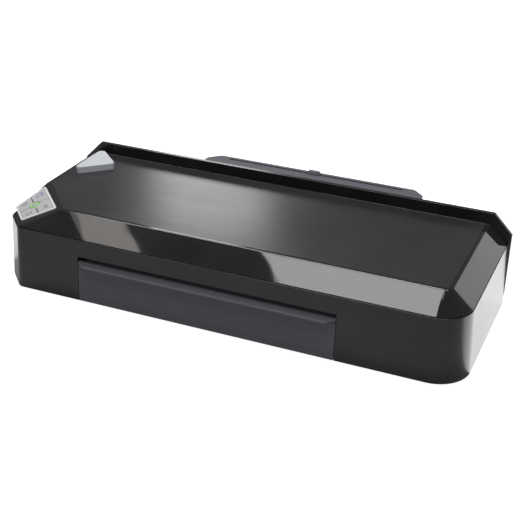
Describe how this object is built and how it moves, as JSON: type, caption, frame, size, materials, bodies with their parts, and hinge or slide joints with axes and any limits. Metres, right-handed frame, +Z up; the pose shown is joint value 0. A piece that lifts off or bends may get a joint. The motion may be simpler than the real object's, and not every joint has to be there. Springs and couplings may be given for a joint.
{
  "type": "vacuum sealer",
  "caption": "Countertop vacuum sealer with a front bag slot and pull-out drip tray, a sloped control facet, a triangular start button and a lidded bag-roll bay with a cutter behind.",
  "frame": {"origin": "middle of the footprint, on the surface that the feet stand on", "axes": "+X along the length to the right seen from the front, +Y to the rear, +Z up"},
  "size_m": [0.536, 0.3116, 0.1075],
  "materials": {
    "housing_black": "semi-gloss moulded ABS",
    "gloss_black": "high-gloss black ABS",
    "satin_top": "satin dark inlay",
    "charcoal": "matte moulded ABS",
    "silver": "satin silver coating",
    "panel_white": "satin white",
    "key_grey": "matte light grey",
    "ring_green": "translucent light guide",
    "rubber": "matte rubber",
    "foam": "closed-cell foam",
    "silicone": "matte silicone",
    "steel": "plain zinc-plated steel",
    "brass": "machined",
    "release_tape": "woven glass tape",
    "circuit_board": "solder-resist board",
    "copper": "varnished windings",
    "ivory": "natural acetal"
  },
  "bodies": {
    "casing": {"lower_housing": "housing_black", "top_bezel": "gloss_black", "rear_rim": "gloss_black", "top_panel": "satin_top", "base_plate": "charcoal", "power_inlet": "charcoal", "roll_bay": "charcoal", "button_guide": "charcoal", "button_switch": "charcoal", "clamp_bed": "charcoal", "vacuum_pump": "charcoal", "control_frame": "panel_white", "power_ring": "ring_green", "foot_front_left": "rubber", "foot_front_right": "rubber", "foot_rear_left": "rubber", "foot_rear_right": "rubber", "foot_bay_left": "rubber", "foot_bay_right": "rubber", "vacuum_hose": "rubber", "lower_gasket": "foam", "base_screw_front_left": "steel", "base_screw_front_right": "steel", "base_screw_rear_left": "steel", "base_screw_rear_right": "steel", "lid_hinge_pin": "steel", "seal_bar": "steel", "guide_pin_left": "steel", "guide_pin_right": "steel", "platen_spring_left": "steel", "platen_spring_right": "steel", "button_spring": "steel", "shaft_bracket_left": "steel", "shaft_bracket_right": "steel", "clamp_motor": "steel", "pump_motor": "steel", "heating_strip": "release_tape", "control_board": "circuit_board", "power_board": "circuit_board", "transformer": "copper", "release_valve": "copper", "pressure_switch": "ivory"},
    "tray": {"drip_tray": "charcoal"},
    "start": {"start_button": "silver"},
    "power": {"power_key": "key_grey"},
    "seal": {"seal_key": "key_grey"},
    "pulse": {"pulse_key": "key_grey"},
    "food": {"food_key": "key_grey"},
    "release": {"release_key": "key_grey"},
    "lid": {"roll_bay_lid": "charcoal"},
    "cutter": {"cutter_slide": "charcoal", "cutter_blade": "steel"},
    "platen": {"upper_platen": "charcoal", "upper_gasket": "foam", "pressure_strip": "silicone"},
    "cams": {"cam_shaft": "steel", "cam_gear": "ivory"},
    "pinion": {"motor_pinion": "brass"},
    "crank": {"pump_crank": "brass"}
  },
  "joints": [
    {"name": "tray_slide", "type": "slide", "parent": "casing", "child": "tray", "axis": [0, -1, 0], "range_m": [0, 0.09]},
    {"name": "start_press", "type": "slide", "parent": "casing", "child": "start", "axis": [0, 0, -1], "range_m": [0, 0.003], "stiffness_N_per_m": 600, "springref_m": -0.002, "deforming": ["button_spring"]},
    {"name": "power_press", "type": "slide", "parent": "casing", "child": "power", "axis": [0.2805, 0.2668, -0.922], "range_m": [0, 0.0004], "stiffness_N_per_m": 1500, "springref_m": -0.0008},
    {"name": "seal_press", "type": "slide", "parent": "casing", "child": "seal", "axis": [0.2805, 0.2668, -0.922], "range_m": [0, 0.0004], "stiffness_N_per_m": 1500, "springref_m": -0.0008},
    {"name": "pulse_press", "type": "slide", "parent": "casing", "child": "pulse", "axis": [0.2805, 0.2668, -0.922], "range_m": [0, 0.0004], "stiffness_N_per_m": 1500, "springref_m": -0.0008},
    {"name": "food_press", "type": "slide", "parent": "casing", "child": "food", "axis": [0.2805, 0.2668, -0.922], "range_m": [0, 0.0004], "stiffness_N_per_m": 1500, "springref_m": -0.0008},
    {"name": "release_press", "type": "slide", "parent": "casing", "child": "release", "axis": [0.2805, 0.2668, -0.922], "range_m": [0, 0.0004], "stiffness_N_per_m": 1500, "springref_m": -0.0008},
    {"name": "lid_hinge", "type": "hinge", "parent": "casing", "child": "lid", "pos_m": [0, 0.05825, 0.0703], "axis": [1, 0, 0], "range_deg": [0, 90]},
    {"name": "cutter_run", "type": "slide", "parent": "lid", "child": "cutter", "axis": [1, 0, 0], "range_m": [-0.11, 0.11]},
    {"name": "cam_turn", "type": "hinge", "parent": "casing", "child": "cams", "pos_m": [0, -0.10365, 0.0724], "axis": [1, 0, 0], "range_deg": [0, 180]},
    {"name": "platen_slide", "type": "slide", "parent": "casing", "child": "platen", "axis": [0, 0, -1], "range_m": [0, 0.0046], "stiffness_N_per_m": 600, "springref_m": -0.005, "deforming": ["platen_spring_left", "platen_spring_right"]},
    {"name": "pinion_spin", "type": "hinge", "parent": "casing", "child": "pinion", "pos_m": [0.1647, -0.09043, 0.05918], "axis": [1, 0, 0], "range_deg": [-540, 0]},
    {"name": "pump_spin", "type": "hinge", "parent": "casing", "child": "crank", "pos_m": [0.04, 0.00125, 0.0355], "axis": [1, 0, 0], "continuous": true}
  ],
  "couplings": [
    {"joint": "cam_turn", "follows": "platen_slide", "rad_per_m": 682.95},
    {"joint": "pinion_spin", "follows": "platen_slide", "rad_per_m": -2048.8}
  ]
}
